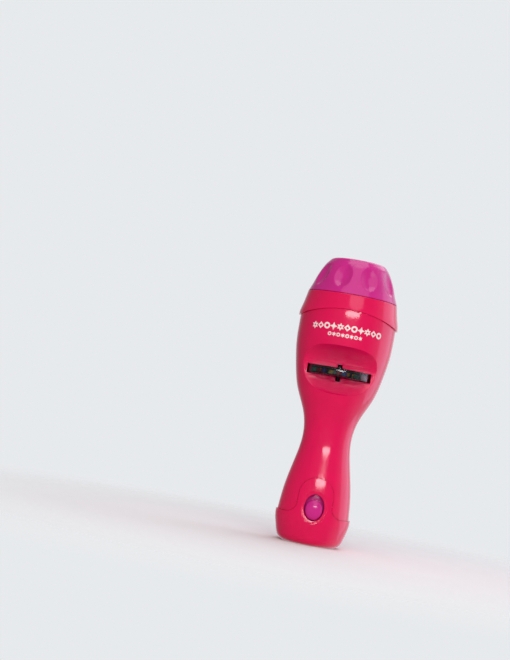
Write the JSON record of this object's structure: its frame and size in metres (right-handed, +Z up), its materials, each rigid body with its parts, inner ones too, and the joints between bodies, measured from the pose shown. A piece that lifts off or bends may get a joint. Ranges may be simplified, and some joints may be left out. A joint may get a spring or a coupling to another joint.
{
  "type": "kaleidoscope",
  "caption": "Torch-shaped kaleidoscope projector with a turning bead disc in its slot, inner mirrors, focusing lens ring, slide switch and battery door.",
  "frame": {"origin": "centre of the flat foot that it stands on", "axes": "+Z up the light path from foot to lens, -Y to the side with the disc slot and the switch, +X to the right seen from that side"},
  "size_m": [0.0544, 0.0534, 0.1555],
  "materials": {
    "pink_plastic": "glossy moulded pink-red",
    "purple_plastic": "glossy moulded magenta purple",
    "zinc_steel": "zinc plated",
    "black_plastic": "matt black moulded",
    "white_plastic": "white moulded",
    "clear_acrylic": "polished clear",
    "clear_epoxy": "clear cast epoxy",
    "clear_styrene": "clear moulded",
    "clear_styrene_pin": "clear moulded, frosted",
    "mirror_strip": "silvered strip",
    "bead_red": "translucent",
    "bead_yellow": "translucent",
    "bead_blue": "translucent",
    "bead_green": "translucent",
    "tinned_steel": "tinned wire",
    "circuit_board": "green solder resist",
    "resistor_body": "lacquered",
    "cell_jacket": "printed film over steel",
    "nickel_contact": "nickel plated",
    "copper_contact": "phosphor bronze",
    "phenolic_board": "phenolic",
    "black_wire": "PVC sleeve",
    "red_wire": "PVC sleeve",
    "blue_wire": "PVC sleeve"
  },
  "bodies": {
    "housing": {"base_cap": "pink_plastic", "front_shell": "pink_plastic", "rear_shell": "pink_plastic", "collar_ring": "pink_plastic", "shell_screws": "zinc_steel", "switch_screws": "zinc_steel", "focus_barrel": "black_plastic", "mirror_tube": "black_plastic", "disc_guide_lower": "black_plastic", "disc_guide_upper": "black_plastic", "light_tube": "white_plastic", "battery_tray": "black_plastic", "condenser_lens": "clear_acrylic", "led": "clear_epoxy", "mirror_front": "mirror_strip", "mirror_left": "mirror_strip", "mirror_right": "mirror_strip", "led_leads": "tinned_steel", "led_board": "circuit_board", "resistor": "resistor_body", "cell_left": "cell_jacket", "cell_right": "cell_jacket", "positive_contact": "nickel_contact", "negative_contact": "nickel_contact", "negative_spring": "nickel_contact", "bridge_contact": "nickel_contact", "bridge_spring": "nickel_contact", "switch_frame": "nickel_contact", "switch_base": "phenolic_board", "switch_terminals": "nickel_contact", "wire_black": "black_wire", "wire_red": "red_wire", "wire_blue": "blue_wire"},
    "focus_ring": {"focus_ring": "purple_plastic"},
    "lens_carriage": {"lens_cell": "black_plastic", "projection_lens": "clear_acrylic", "lens_retainer": "black_plastic"},
    "disc_pin": {"disc_axle": "clear_styrene_pin"},
    "bead_disc": {"capsule_base": "clear_styrene", "capsule_lid": "clear_styrene", "beads_red": "bead_red", "beads_yellow": "bead_yellow", "beads_blue": "bead_blue", "beads_green": "bead_green"},
    "slide_switch": {"power_knob": "purple_plastic", "switch_actuator": "black_plastic", "switch_wiper": "copper_contact"},
    "battery_door": {"battery_door": "pink_plastic", "door_screw": "zinc_steel"}
  },
  "joints": [
    {"name": "focus_turn", "type": "hinge", "parent": "housing", "child": "focus_ring", "pos_m": [0, 0, 0.1354], "axis": [0, 0, 1], "range_deg": [-40, 40]},
    {"name": "focus_travel", "type": "slide", "parent": "housing", "child": "lens_carriage", "axis": [0, 0, 1], "range_m": [-0.0021, 0.0021]},
    {"name": "disc_insert", "type": "slide", "parent": "housing", "child": "disc_pin", "axis": [0, -1, 0], "range_m": [0, 0.045]},
    {"name": "disc_spin", "type": "hinge", "parent": "disc_pin", "child": "bead_disc", "pos_m": [0, -0.01, 0.0933], "axis": [0, 0, 1], "continuous": true},
    {"name": "power_slide", "type": "slide", "parent": "housing", "child": "slide_switch", "axis": [0, 0, 1], "range_m": [0, 0.0024]},
    {"name": "door_swing", "type": "hinge", "parent": "housing", "child": "battery_door", "pos_m": [0, 0.01912, 0.022], "axis": [-1, 0, 0], "range_deg": [0, 80]}
  ],
  "couplings": [
    {"joint": "focus_travel", "follows": "focus_turn", "m_per_rad": 0.0028648}
  ]
}
